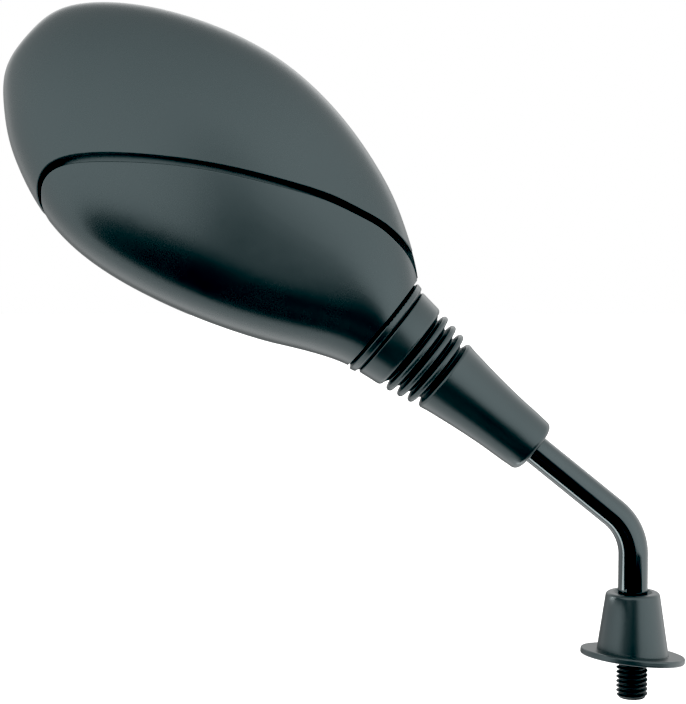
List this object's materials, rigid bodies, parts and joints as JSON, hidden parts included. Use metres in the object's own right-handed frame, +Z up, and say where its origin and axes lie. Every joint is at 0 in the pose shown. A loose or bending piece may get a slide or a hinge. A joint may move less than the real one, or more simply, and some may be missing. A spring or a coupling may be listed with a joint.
{
  "type": "motorcycle mirror",
  "caption": "Scooter mirror: egg-shaped plastic head with convex glass on a ball joint in a ribbed rubber boot, on a bent steel stem with threaded stud and rubber base cap.",
  "frame": {"origin": "on the stud's axis at the seat plane of the base cap, where the stem leaves the handlebar boss", "axes": "+Z up along the stud; the head lies towards -X and up; +Y is the way the glass faces"},
  "size_m": [0.2183, 0.0419, 0.2232],
  "materials": {
    "housing_plastic": "satin moulded black plastic with a fine grain",
    "cover_plastic": "satin moulded black plastic with a fine grain",
    "boot_rubber": "satin black rubber",
    "cap_rubber": "satin black rubber",
    "stem_paint": "gloss black paint on steel, dull black thread",
    "bezel_plastic": "satin black plastic",
    "mirror_glass": "silvered convex glass",
    "foam": "grey adhesive foam",
    "inner_plastic": "plain black plastic",
    "acetal": "natural acetal",
    "zinc_steel": "zinc-plated steel"
  },
  "bodies": {
    "stem": {"stem": "stem_paint", "ball_clip": "zinc_steel", "rubber_boot": "boot_rubber", "lock_nut": "zinc_steel", "lock_washer": "zinc_steel"},
    "ball": {"pivot_ball": "acetal"},
    "cups": {"lower_ball_cup": "acetal", "upper_ball_cup": "acetal"},
    "head": {"main_housing": "housing_plastic", "lower_cover": "cover_plastic", "cover_screws": "zinc_steel", "bezel": "bezel_plastic", "mirror_glass": "mirror_glass", "glass_pad": "foam", "backing_plate": "inner_plastic", "plate_screws": "zinc_steel", "seat_ring": "inner_plastic", "disc_spring": "zinc_steel", "lock_ring": "inner_plastic"},
    "cap": {"base_cap": "cap_rubber"}
  },
  "joints": [
    {"name": "head_swivel", "type": "hinge", "parent": "stem", "child": "ball", "pos_m": [-0.07618, 0, 0.10385], "axis": [-0.7771, 0, 0.6293], "range_deg": [-45, 45]},
    {"name": "head_tilt", "type": "hinge", "parent": "ball", "child": "cups", "pos_m": [-0.07618, 0, 0.10385], "axis": [0.6293, 0, 0.7771], "range_deg": [-12, 12], "deforming": ["rubber_boot"]},
    {"name": "head_raise", "type": "hinge", "parent": "cups", "child": "head", "pos_m": [-0.07618, 0, 0.10385], "axis": [0, 1, 0], "range_deg": [-12, 12], "deforming": ["rubber_boot"]},
    {"name": "cap_slide", "type": "slide", "parent": "stem", "child": "cap", "axis": [0, 0, 1], "range_m": [0, 0.012]}
  ]
}
